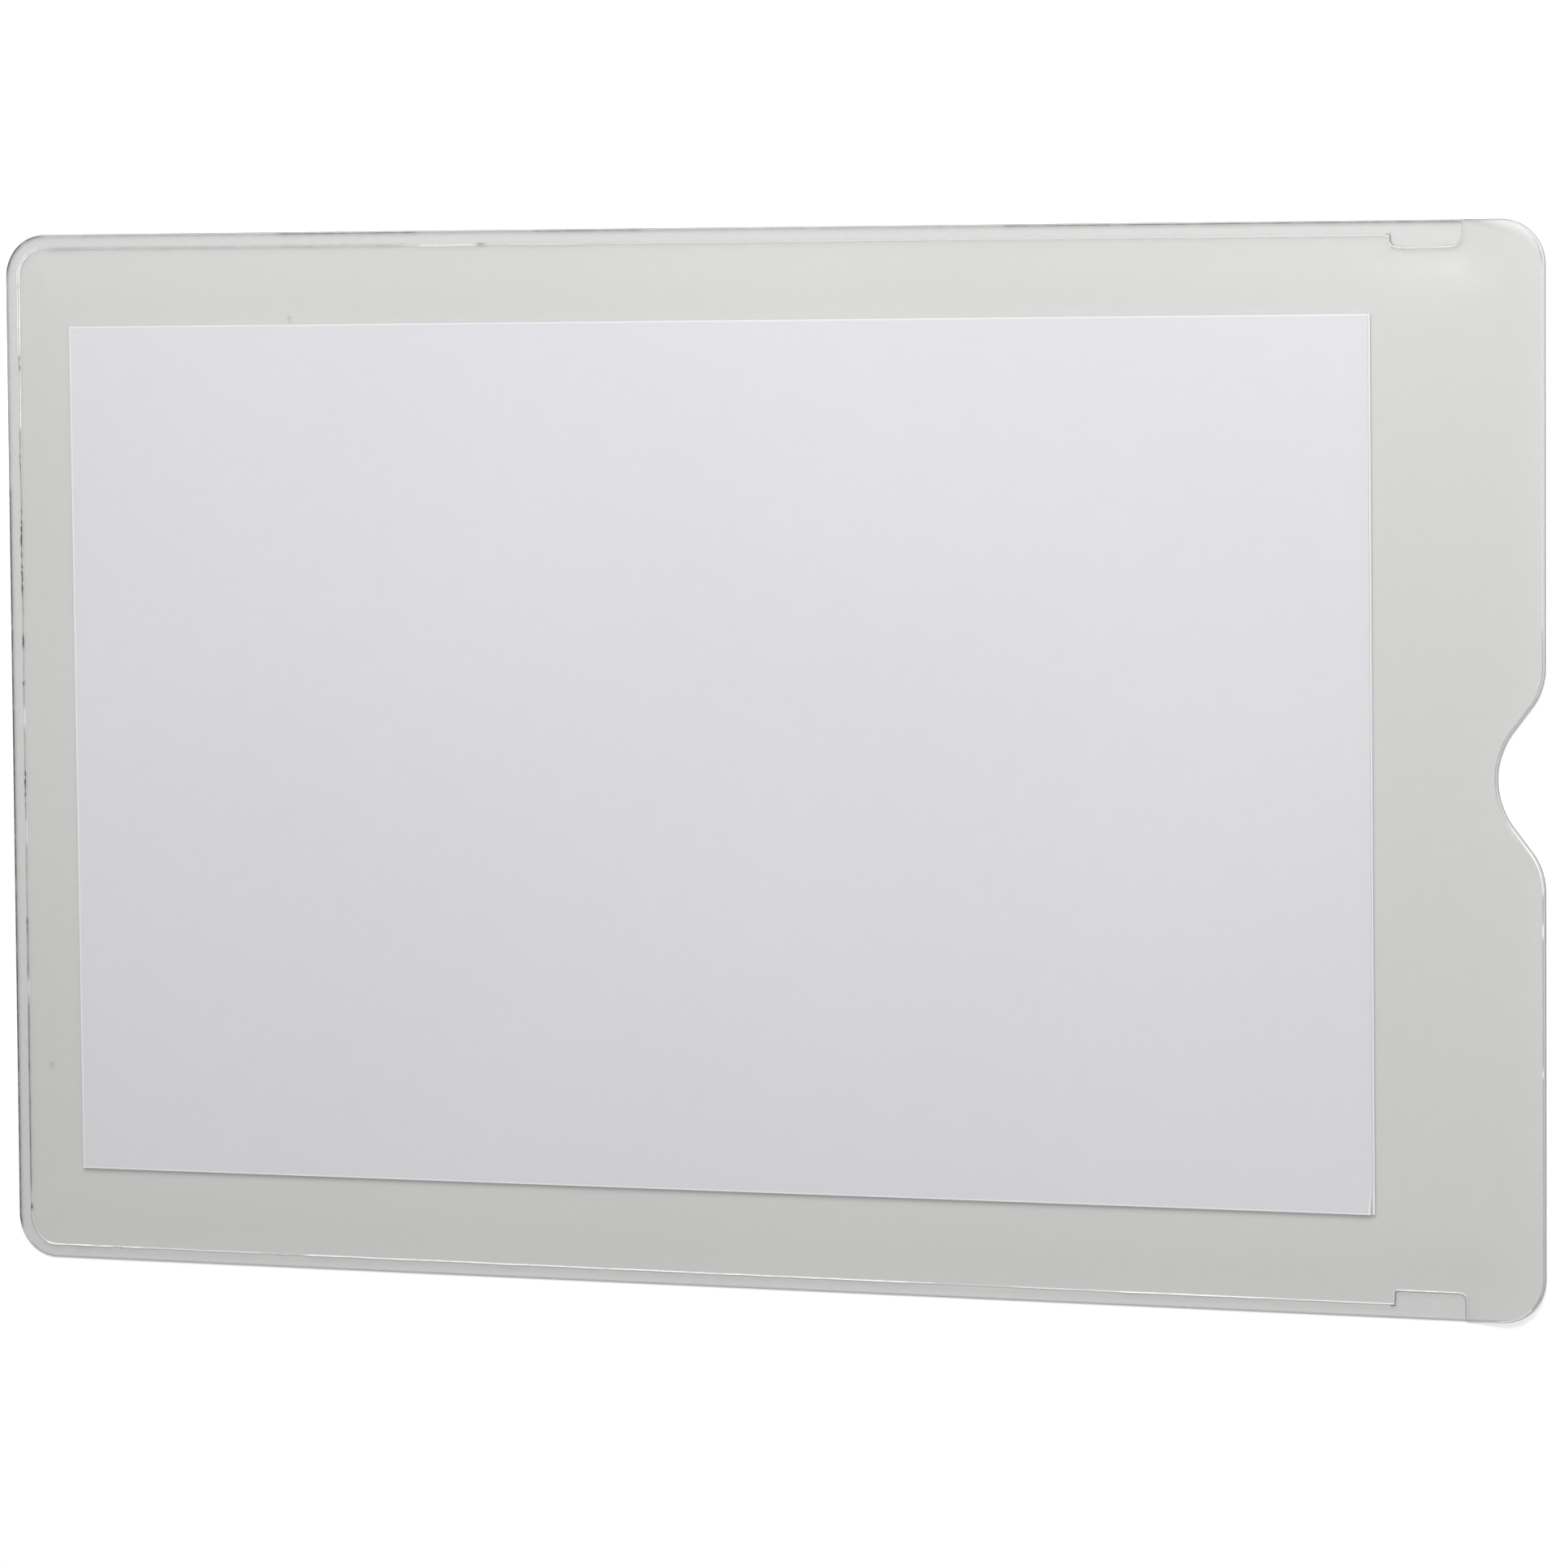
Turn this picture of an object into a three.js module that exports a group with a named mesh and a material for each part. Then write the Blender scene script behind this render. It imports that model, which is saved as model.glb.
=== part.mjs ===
// A clear vinyl envelope jacket that holds a paper insert: two plies of film, welded
// face to face along three edges, and two leaves of paper lying in the pocket between them.
// Millimetres. +X runs to the open mouth, +Y to the upper long edge, +Z up from the surface
// that the jacket lies on. The origin is under the middle of the back ply.
import * as THREE from "three";

// The insert, two equal leaves cut to a standard 8 by 5 inch sheet.
const INSERT_LENGTH = 203.2;
const INSERT_HEIGHT = 127;
const LEAF_THICKNESS = 0.2;
const INSERT_TURN_DEG = 0.207;
const REAR_LEAF_SLIP = 0.25;

// Film left showing round the insert, from its edge to the edge of the jacket.
const MARGIN_CLOSED_END = 10.9;
const MARGIN_MOUTH = 25.4;
const MARGIN_TOP = 13.5;
const MARGIN_BOTTOM = 14;

// The film and the outline it is cut to.
const FILM = 0.25;
const CORNER_RADIUS = 6.35;

// The thumb notch in the mouth, cut through both plies.
const NOTCH_DEPTH = 6.9;
const NOTCH_RADIUS = 11;
const NOTCH_SHOULDER_RADIUS = 9;
const NOTCH_FLANK_DEG = 38;
const NOTCH_BELOW_MIDDLE = 0.85;

// The weld: a pressed band with a bead along its inner side and a tab at each end.
const WELD_WIDTH = 1.9;
const WELD_SQUEEZE = 0.06;
const BEAD_WIDTH = 0.35;
const BEAD_HEIGHT = 0.06;
const TAB_LENGTH = 10.3;
const TAB_REACH = 1.8;
const TAB_ROUND = 1.1;
const TAB_SIDE_SLOPE = 0.3;
const TAB_TO_MOUTH = 11.85;

// How the front ply stands off the back ply: flat over the insert, and open at the mouth.
const SEAT_MARGIN = 1;
const GAPE_AT_TOP = 1.45;
const GAPE_AT_BOTTOM = 0.8;
const GAPE_LEAD = 10;
const GAPE_EASE = 9;

// How finely curves and rings are divided.
const CORNER_STEPS = 8;
const NOTCH_STEPS = 12;
const SHOULDER_STEPS = 6;
const LONG_EDGE_STEPS = 6;
const RING_SHARES = [0.12, 0.3, 0.5, 0.75, 1];

// Sizes and places that follow from the ones above.
const HALF_LENGTH = (MARGIN_CLOSED_END + INSERT_LENGTH + MARGIN_MOUTH) / 2;
const HALF_HEIGHT = (MARGIN_TOP + INSERT_HEIGHT + MARGIN_BOTTOM) / 2;
const INSERT_X = MARGIN_CLOSED_END + INSERT_LENGTH / 2 - HALF_LENGTH;
const INSERT_Y = MARGIN_BOTTOM + INSERT_HEIGHT / 2 - HALF_HEIGHT;
const STACK = 2 * LEAF_THICKNESS;
const TAB_END = HALF_LENGTH - TAB_TO_MOUTH;
const TAB_START = TAB_END - TAB_LENGTH;
const GAPE_START = INSERT_X + INSERT_LENGTH / 2 - GAPE_LEAD;
const NARROWEST_MARGIN = Math.min(MARGIN_CLOSED_END, MARGIN_TOP, MARGIN_BOTTOM);
const RAMP = NARROWEST_MARGIN - WELD_WIDTH - SEAT_MARGIN;
const NOTCH_Y = -NOTCH_BELOW_MIDDLE;
const FLANK = THREE.MathUtils.degToRad(NOTCH_FLANK_DEG);
const FLANK_LENGTH =
  (NOTCH_DEPTH - (NOTCH_RADIUS + NOTCH_SHOULDER_RADIUS) * (1 - Math.cos(FLANK))) / Math.sin(FLANK);
const NOTCH_HALF_WIDTH =
  (NOTCH_RADIUS + NOTCH_SHOULDER_RADIUS) * Math.sin(FLANK) + FLANK_LENGTH * Math.cos(FLANK);

// The flat of the front ply over the insert: wider than the insert by the seat margin on
// three sides, and ending where the ply starts to rise to the mouth.
const SEAT = new THREE.Box2(
  new THREE.Vector2(INSERT_X - INSERT_LENGTH / 2 - SEAT_MARGIN, INSERT_Y - INSERT_HEIGHT / 2 - SEAT_MARGIN),
  new THREE.Vector2(GAPE_START, INSERT_Y + INSERT_HEIGHT / 2 + SEAT_MARGIN),
);

const ease = (share) => THREE.MathUtils.smoothstep(share, 0, 1);

// A station is a point of the outline, its inward normal, and how far a tab of the weld
// reaches in there past the plain band.
function station(x, y, nx, ny, tabReach = 0) {
  return { point: new THREE.Vector2(x, y), inward: new THREE.Vector2(nx, ny), tabReach };
}

// Stations round an arc from one angle to another, in degrees. The inward normal points to
// the arc's centre (side 1) or away from it (side -1).
function arcStations(x, y, radius, from, to, steps, side = 1) {
  return Array.from({ length: steps + 1 }, (_, i) => {
    const a = THREE.MathUtils.degToRad(from + ((to - from) * i) / steps);
    const [c, s] = [Math.cos(a), Math.sin(a)];
    return station(x + radius * c, y + radius * s, -side * c, -side * s);
  });
}

// The notch, from its lower shoulder to its upper one.
function notchStations() {
  const shoulderX = HALF_LENGTH - NOTCH_SHOULDER_RADIUS;
  const centreX = HALF_LENGTH - NOTCH_DEPTH + NOTCH_RADIUS;
  const turn = NOTCH_FLANK_DEG;
  const low = NOTCH_Y - NOTCH_HALF_WIDTH;
  const high = NOTCH_Y + NOTCH_HALF_WIDTH;
  return [
    ...arcStations(shoulderX, low, NOTCH_SHOULDER_RADIUS, 0, turn, SHOULDER_STEPS),
    ...arcStations(centreX, NOTCH_Y, NOTCH_RADIUS, 180 + turn, 180 - turn, NOTCH_STEPS, -1),
    ...arcStations(shoulderX, high, NOTCH_SHOULDER_RADIUS, -turn, 0, SHOULDER_STEPS),
  ];
}

// Where the long edges need stations, as pairs of a place and the tab's reach there: along
// the plain weld, and at each turn of the tab.
function longEdgeStops() {
  const start = CORNER_RADIUS - HALF_LENGTH;
  const plain = Array.from({ length: LONG_EDGE_STEPS }, (_, i) => {
    return [THREE.MathUtils.lerp(start, TAB_START, (i + 1) / (LONG_EDGE_STEPS + 1)), 0];
  });
  return [...plain, ...tabProfile()];
}

// The tab's inner side as places along the edge, each with how far the weld reaches there
// past the plain band. The ends slope a little and the two corners are rounded.
function tabProfile() {
  const rise = TAB_SIDE_SLOPE;
  const bevel = TAB_ROUND * (1 - Math.SQRT1_2);
  const half = [
    [0, 0],
    [rise, TAB_REACH - TAB_ROUND],
    [rise + bevel, TAB_REACH - bevel],
    [rise + TAB_ROUND, TAB_REACH],
  ];
  const first = half.map(([along, reach]) => [TAB_START + along, reach]);
  const last = half.map(([along, reach]) => [TAB_END - along, reach]).reverse();
  return [...first, ...last];
}

// The outline, anticlockwise from the lower closed corner. With stops, the long edges carry
// a station at each.
function outline(stops = []) {
  const x = HALF_LENGTH - CORNER_RADIUS;
  const y = HALF_HEIGHT - CORNER_RADIUS;
  const corner = (cx, cy, from) => arcStations(cx, cy, CORNER_RADIUS, from, from + 90, CORNER_STEPS);
  return [
    ...corner(-x, -y, 180),
    ...stops.map(([at, tabReach]) => station(at, -HALF_HEIGHT, 0, 1, tabReach)),
    ...corner(x, -y, 270),
    ...notchStations(),
    ...corner(x, y, 0),
    ...stops.map(([at, tabReach]) => station(at, HALF_HEIGHT, 0, -1, tabReach)).reverse(),
    ...corner(-x, y, 90),
  ];
}

const isWelded = ({ point }) => point.x <= TAB_END;

// Distance from a point of the pocket to the nearest welded film.
function distanceToWeld(x, y) {
  const fromEnd = x + HALF_LENGTH - WELD_WIDTH;
  const fromLong = HALF_HEIGHT - WELD_WIDTH - Math.abs(y);
  const round = CORNER_RADIUS - WELD_WIDTH;
  const inCorner = fromEnd < round && fromLong < round;
  const endOrCorner = inCorner ? round - Math.hypot(round - fromEnd, round - fromLong) : fromEnd;
  const past = Math.max(0, x - TAB_END);
  const band = Math.hypot(past, Math.max(0, fromLong));
  const tab = Math.hypot(Math.max(past, TAB_START - x, 0), Math.max(0, fromLong - TAB_REACH));
  return Math.max(0, Math.min(endOrCorner, band, tab));
}

// Height of the front ply's underside above the back ply.
function lift(x, y) {
  const away = distanceToWeld(x, y);
  const towardsMouth = ease((x - GAPE_START) / (HALF_LENGTH - GAPE_START));
  const upward = (y + HALF_HEIGHT) / (2 * HALF_HEIGHT);
  const gape = THREE.MathUtils.lerp(GAPE_AT_BOTTOM, GAPE_AT_TOP, upward);
  return STACK * ease(away / RAMP) + (gape - STACK) * towardsMouth * ease(away / GAPE_EASE);
}

// The rings of the front ply, from its edge in to the flat over the insert. Each point is
// { x, y, thickness }.
function frontRings() {
  const stations = outline(longEdgeStops());
  const at = ({ point, inward }, depth) => point.clone().addScaledVector(inward, depth);
  const weldLine = stations.map((s) => at(s, WELD_WIDTH + s.tabReach));
  const bead = stations.map((s) => at(s, WELD_WIDTH + s.tabReach + BEAD_WIDTH));
  const seat = bead.map((p) => SEAT.clampPoint(p, new THREE.Vector2()));
  const ring = (points, swell = 0) =>
    points.map(({ x, y }, i) => ({ x, y, thickness: FILM + (isWelded(stations[i]) ? swell : 0) }));
  const towardsSeat = (share) => bead.map((p, i) => p.clone().lerp(seat[i], share));
  return [
    ring(stations.map((s) => s.point), -WELD_SQUEEZE),
    ring(weldLine, -WELD_SQUEEZE),
    ring(bead, BEAD_HEIGHT),
    ...RING_SHARES.map((share) => ring(towardsSeat(share))),
  ];
}

// The closed skin of the front ply: its underside, the same rings a film's thickness up,
// and a wall round the edge.
function frontPlyGeometry() {
  const rings = frontRings();
  const middle = { ...SEAT.getCenter(new THREE.Vector2()), thickness: FILM };
  const under = (p) => new THREE.Vector3(p.x, p.y, FILM + lift(p.x, p.y));
  const upper = (p) => under(p).setZ(FILM + lift(p.x, p.y) + p.thickness);
  const corners = [];
  const triangle = (a, b, c) => {
    const hasArea = !a.equals(b) && !b.equals(c) && !c.equals(a);
    if (hasArea) corners.push(a, b, c);
  };
  const skin = (face, turn) => {
    const place = (a, b, c) => {
      const [second, third] = turn ? [c, b] : [b, c];
      triangle(face(a), face(second), face(third));
    };
    for (let k = 0; k + 1 < rings.length; k++) {
      rings[k].forEach((outer, i) => {
        const next = (i + 1) % rings[k].length;
        place(outer, rings[k][next], rings[k + 1][next]);
        place(outer, rings[k + 1][next], rings[k + 1][i]);
      });
    }
    const seat = rings.at(-1);
    seat.forEach((p, i) => place(p, seat[(i + 1) % seat.length], middle));
  };
  skin(upper, false);
  skin(under, true);
  rings[0].forEach((p, i) => {
    const q = rings[0][(i + 1) % rings[0].length];
    triangle(under(p), under(q), upper(q));
    triangle(under(p), upper(q), upper(p));
  });
  const geometry = new THREE.BufferGeometry().setFromPoints(corners);
  geometry.computeVertexNormals();
  return geometry;
}

function backPlyGeometry() {
  const shape = new THREE.Shape(outline().map(({ point }) => point));
  return new THREE.ExtrudeGeometry(shape, { depth: FILM, bevelEnabled: false });
}

function named(name, geometry, material) {
  const mesh = new THREE.Mesh(geometry, material);
  mesh.name = name;
  return mesh;
}

const clearVinyl = () =>
  new THREE.MeshStandardMaterial({
    color: 0xc9c9c5,
    roughness: 0.22,
    metalness: 0,
    transparent: true,
    opacity: 0.55,
  });

const paper = () => new THREE.MeshStandardMaterial({ color: 0xf1f0f3, roughness: 0.9, metalness: 0 });

// One leaf of the insert, lying with its underside at the height given.
function leaf(name, height, slip) {
  const mesh = named(name, new THREE.BoxGeometry(INSERT_LENGTH, INSERT_HEIGHT, LEAF_THICKNESS), paper());
  mesh.position.set(slip, 0, height + LEAF_THICKNESS / 2);
  return mesh;
}

function insert() {
  const group = new THREE.Group();
  group.position.set(INSERT_X, INSERT_Y, FILM);
  group.rotation.z = THREE.MathUtils.degToRad(INSERT_TURN_DEG);
  group.add(leaf("rear_leaf", 0, REAR_LEAF_SLIP), leaf("front_leaf", LEAF_THICKNESS, 0));
  return group;
}

const jacket = new THREE.Group();
jacket.add(
  named("back_ply", backPlyGeometry(), clearVinyl()),
  named("front_ply", frontPlyGeometry(), clearVinyl()),
  insert(),
);

export default jacket;
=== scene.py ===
"""A clear vinyl envelope jacket with its paper insert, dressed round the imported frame.

Lengths are in millimetres until a mesh is made, and every Blender object is in metres.
+X runs to the open mouth, +Y to the upper long edge and +Z up from the floor.
"""

import logging
import math
from dataclasses import dataclass, field
from enum import Enum
from typing import Callable

import bpy
import numpy as np
from mathutils import Matrix, Vector


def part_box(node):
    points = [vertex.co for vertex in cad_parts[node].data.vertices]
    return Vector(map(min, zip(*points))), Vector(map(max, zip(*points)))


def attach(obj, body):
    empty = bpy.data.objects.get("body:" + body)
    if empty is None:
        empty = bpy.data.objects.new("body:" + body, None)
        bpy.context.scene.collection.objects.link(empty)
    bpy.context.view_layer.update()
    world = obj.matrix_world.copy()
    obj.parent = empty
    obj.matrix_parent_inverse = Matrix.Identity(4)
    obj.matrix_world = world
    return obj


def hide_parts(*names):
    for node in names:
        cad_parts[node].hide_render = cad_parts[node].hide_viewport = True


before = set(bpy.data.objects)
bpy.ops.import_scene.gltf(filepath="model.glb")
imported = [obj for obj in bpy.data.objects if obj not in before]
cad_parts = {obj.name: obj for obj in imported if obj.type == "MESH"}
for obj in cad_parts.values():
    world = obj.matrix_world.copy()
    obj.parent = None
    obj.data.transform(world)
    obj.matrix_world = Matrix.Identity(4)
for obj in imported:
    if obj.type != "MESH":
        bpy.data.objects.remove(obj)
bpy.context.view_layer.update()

MM = 0.001
SEAM_GAP = 0.02  # left between faces that touch, so that they don't fight for the same place
SHARP_DEG = 50.0
FILM_INDEX = 1.53  # how strongly vinyl bends light
BODY = "root"
LOG = logging.getLogger("jacket")

Masks = dict[str, np.ndarray | float]


def ease(share: np.ndarray | float) -> np.ndarray:
    """Returns 0 below 0, 1 above 1 and a smooth climb between."""
    held = np.clip(share, 0.0, 1.0)
    return held * held * (3 - 2 * held)


def bump(offset: np.ndarray | float, width: float) -> np.ndarray:
    """Returns a round hill, 1 at offset 0 and gone past about twice the width."""
    return np.exp(-np.square(np.asarray(offset) / width))


@dataclass(frozen=True)
class Ridge:
    """A round ridge that follows a line, or a groove where its height is below 0."""

    height: float
    place: float
    width: float

    def at(self, distance: np.ndarray | float) -> np.ndarray:
        """Returns the ridge's height at each distance from the line."""
        return self.height * bump(distance - self.place, self.width)


class Side(Enum):
    """The four sides of the jacket, each with the way inward from it."""

    TOP = (0, -1)
    BOTTOM = (0, 1)
    CLOSED = (1, 0)
    MOUTH = (-1, 0)

    @property
    def along(self) -> int:
        """Which coordinate runs along the side: 0 for x, 1 for y."""
        return 0 if self.value[0] == 0 else 1


class Wander:
    """A smooth irregular line along an edge, the same at every run."""

    def __init__(self, seed: int, pitch: float, length: float) -> None:
        """Draws the line's turning points.

        Args:
            seed: which line to draw.
            pitch: distance between turning points.
            length: how far the line runs.
        """
        count = int(length / pitch) + 3
        self.pitch = pitch
        self.heights = np.random.default_rng(seed).uniform(-1.0, 1.0, count)

    def __call__(self, along: np.ndarray) -> np.ndarray:
        """Reads the line.

        Args:
            along: places along the edge.

        Returns:
            The line's height at each place, from -1 to 1.
        """
        place = np.asarray(along) / self.pitch
        start = np.floor(place).astype(int)
        share = ease(place - start)
        return self.heights[start] * (1 - share) + self.heights[start + 1] * share


@dataclass(frozen=True)
class Edge:
    """Stations round the outline: their points and their inward normals."""

    points: np.ndarray
    inward: np.ndarray

    @property
    def along(self) -> np.ndarray:
        """Distance round the outline to each station."""
        steps = np.hypot(*np.diff(self.points, axis=0).T)
        return np.concatenate([[0.0], np.cumsum(steps)])

    def facing(self, side: Side) -> np.ndarray:
        """Returns how squarely each station faces a side, 1 on its straight stretch."""
        return self.inward @ np.array(side.value, float)

    def on(self, side: Side) -> np.ndarray:
        """Returns which stations face a side, round corners being shared between two."""
        return self.facing(side) > 0.7

    def place(self, side: Side) -> np.ndarray:
        """Returns each station's place along a side."""
        return self.points[:, side.along]

    def moved_in(self, depth: np.ndarray | float) -> np.ndarray:
        """Returns the points, moved inward by a depth."""
        return self.points + self.inward * np.broadcast_to(depth, len(self.points))[:, None]


@dataclass(frozen=True)
class Outline:
    """The die-cut edge of the film, with round corners and a thumb notch in the mouth."""

    half_length: float
    half_height: float
    corner_radius: float = 6.35
    notch_depth: float = 6.9
    notch_radius: float = 11.0
    shoulder_radius: float = 9.0
    flank_deg: float = 38.0
    notch_y: float = -0.85
    arc_step_deg: float = 3.0

    @property
    def notch_ends(self) -> tuple[float, float]:
        """Where the mouth's straight stretches stop on either side of the notch.

        Returns:
            The lower and the upper place.
        """
        flank = math.radians(self.flank_deg)
        rounds = self.notch_radius + self.shoulder_radius
        straight = (self.notch_depth - rounds * (1 - math.cos(flank))) / math.sin(flank)
        half_width = rounds * math.sin(flank) + straight * math.cos(flank)
        return self.notch_y - half_width, self.notch_y + half_width

    def arc(self, x: float, y: float, radius: float, start: float, end: float, side: int = 1) -> np.ndarray:
        """Lays stations round an arc.

        Args:
            x, y: the arc's centre.
            radius: its radius.
            start, end: its two angles in degrees.
            side: 1 where inward is towards the centre, -1 where it is away.

        Returns:
            Rows of x, y and the inward normal.
        """
        count = max(2, round(abs(end - start) / self.arc_step_deg))
        angle = np.radians(np.linspace(start, end, count + 1))
        out = np.stack([np.cos(angle), np.sin(angle)], axis=1)
        return np.hstack([np.array([x, y]) + radius * out, -side * out])

    def notch(self) -> np.ndarray:
        """Lays stations round the notch.

        Returns:
            Rows of x, y and the inward normal, from the lower shoulder to the upper one.
        """
        shoulder_x = self.half_length - self.shoulder_radius
        centre_x = self.half_length - self.notch_depth + self.notch_radius
        low, high = self.notch_ends
        turn = self.flank_deg
        return np.vstack([
            self.arc(shoulder_x, low, self.shoulder_radius, 0, turn),
            self.arc(centre_x, self.notch_y, self.notch_radius, 180 + turn, 180 - turn, -1),
            self.arc(shoulder_x, high, self.shoulder_radius, -turn, 0),
        ])

    def straight(self, stops: np.ndarray, side: Side) -> np.ndarray:
        """Lays stations on a straight stretch.

        Args:
            stops: their places along the side.
            side: the side.

        Returns:
            Rows of x, y and the inward normal.
        """
        inward = np.outer(np.ones(len(stops)), side.value)
        points = -inward * (self.half_length, self.half_height)
        points[:, side.along] = stops
        return np.hstack([points, inward])

    def edge(self, step: float, extra_x: np.ndarray) -> Edge:
        """Lays the stations, anticlockwise from the lower closed corner.

        Args:
            step: longest distance between stations on a straight stretch.
            extra_x: places along the long edges that get a station of their own.

        Returns:
            The whole outline.
        """
        x, y = self.half_length - self.corner_radius, self.half_height - self.corner_radius

        def between(low: float, high: float) -> np.ndarray:
            """Returns the places strictly between two ends, a step apart at most."""
            return np.linspace(low, high, math.ceil(abs(high - low) / step) + 1)[1:-1]

        long_stops = np.union1d(between(-x, x), extra_x)
        low, high = self.notch_ends
        rows = np.vstack([
            self.arc(-x, -y, self.corner_radius, 180, 270),
            self.straight(long_stops, Side.BOTTOM),
            self.arc(x, -y, self.corner_radius, 270, 360),
            self.straight(between(-y, low), Side.MOUTH),
            self.notch(),
            self.straight(between(high, y), Side.MOUTH),
            self.arc(x, y, self.corner_radius, 0, 90),
            self.straight(long_stops[::-1], Side.TOP),
            self.arc(-x, y, self.corner_radius, 90, 180),
            self.straight(between(y, -y), Side.CLOSED),
        ])
        return Edge(rows[:, :2], rows[:, 2:])


@dataclass(frozen=True)
class Tab:
    """A pressed lug at the end of the weld, which keeps the mouth's corner from tearing."""

    side: Side
    start: float
    end: float
    reach: float
    bow: float
    first_round: float
    last_round: float
    weld: float

    def depth(self, x: np.ndarray) -> np.ndarray:
        """Measures how far the lug reaches past the plain weld.

        Args:
            x: places along the edge.

        Returns:
            One reach for each place, 0 beside the lug.
        """
        into, left = x - self.start, self.end - x
        length = self.end - self.start
        top = self.reach + self.bow * np.sin(math.pi * np.clip(into / length, 0, 1) ** 0.7)
        first = np.clip(1 - into / self.first_round, 0, 1)
        last = np.clip(1 - left / self.last_round, 0, 1)
        rounded = top - self.first_round * (1 - np.sqrt(1 - first**2))
        rounded = rounded - self.last_round * (1 - np.sqrt(1 - last**2))
        return np.where((into > 0) & (left > 0), np.maximum(rounded, 0), 0)

    def path(self) -> np.ndarray:
        """Traces the lug's crease.

        Returns:
            Rows of x and depth from the edge.
        """
        lead, inset, count = 4, 0.01, 120
        xs = np.linspace(self.start + inset, self.end - inset, count)
        lug = np.stack([xs, self.weld + self.depth(xs)], axis=1)
        return np.vstack([[self.start - lead, self.weld], [self.start, self.weld], lug, [self.end, 0.0]])


def distance_to(points: np.ndarray, path: np.ndarray) -> np.ndarray:
    """Measures how far points are from a path of straight stretches.

    Args:
        points: the points, as rows of two numbers.
        path: the path's corners, in order.

    Returns:
        One distance for each point.
    """
    start, run = path[:-1], np.diff(path, axis=0)
    away = points[:, None, :] - start[None, :, :]
    share = np.clip((away * run).sum(-1) / np.maximum((run * run).sum(-1), 1e-9), 0, 1)
    return np.linalg.norm(away - share[..., None] * run, axis=-1).min(axis=1)


@dataclass(frozen=True)
class Stroke:
    """A stretch of an edge's line whose painted shade and highlight differ from the rest."""

    side: Side
    start: float
    end: float
    # Strengths of the painted shade, the painted highlight and the painted highlight just outside the
    # crease.
    dark: float = 0.0
    bright: float = 0.0
    outer: float = 0.0
    fade: float = 1.2

    def share(self, edge: Edge) -> np.ndarray:
        """Finds how much of the stroke each station has.

        Args:
            edge: the stations.

        Returns:
            Shares from 0 to 1, which fade out at the stroke's ends.
        """
        place = edge.place(self.side)
        within = ease((place - self.start) / self.fade + 0.5) * ease((self.end - place) / self.fade + 0.5)
        return np.where(edge.on(self.side), within, 0)


@dataclass(frozen=True)
class Kink:
    """A short crumpled stretch of the weld's crease."""

    side: Side
    place: float
    length: float
    shift: float

    def weight(self, edge: Edge) -> np.ndarray:
        """Returns how far the crease may stray here, at each station."""
        near = bump(edge.place(self.side) - self.place, self.length)
        return np.where(edge.on(self.side), near * self.shift, 0)


@dataclass(frozen=True)
class Seam:
    """The weld along one side: its width, its torn outer edge and the strengths of its painted shade and
    highlight lines.
    """

    side: Side
    width: float
    tear_inset: float
    crease_dark: float
    crease_painted_highlight: float
    rim_dark: float
    rim_width: float


def marks(kind: Callable, side: Side, *rows: tuple[float, ...]) -> tuple:
    """Returns strokes or kinks on one side, each made from a row of its other numbers."""
    return tuple(kind(side, *row) for row in rows)


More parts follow.
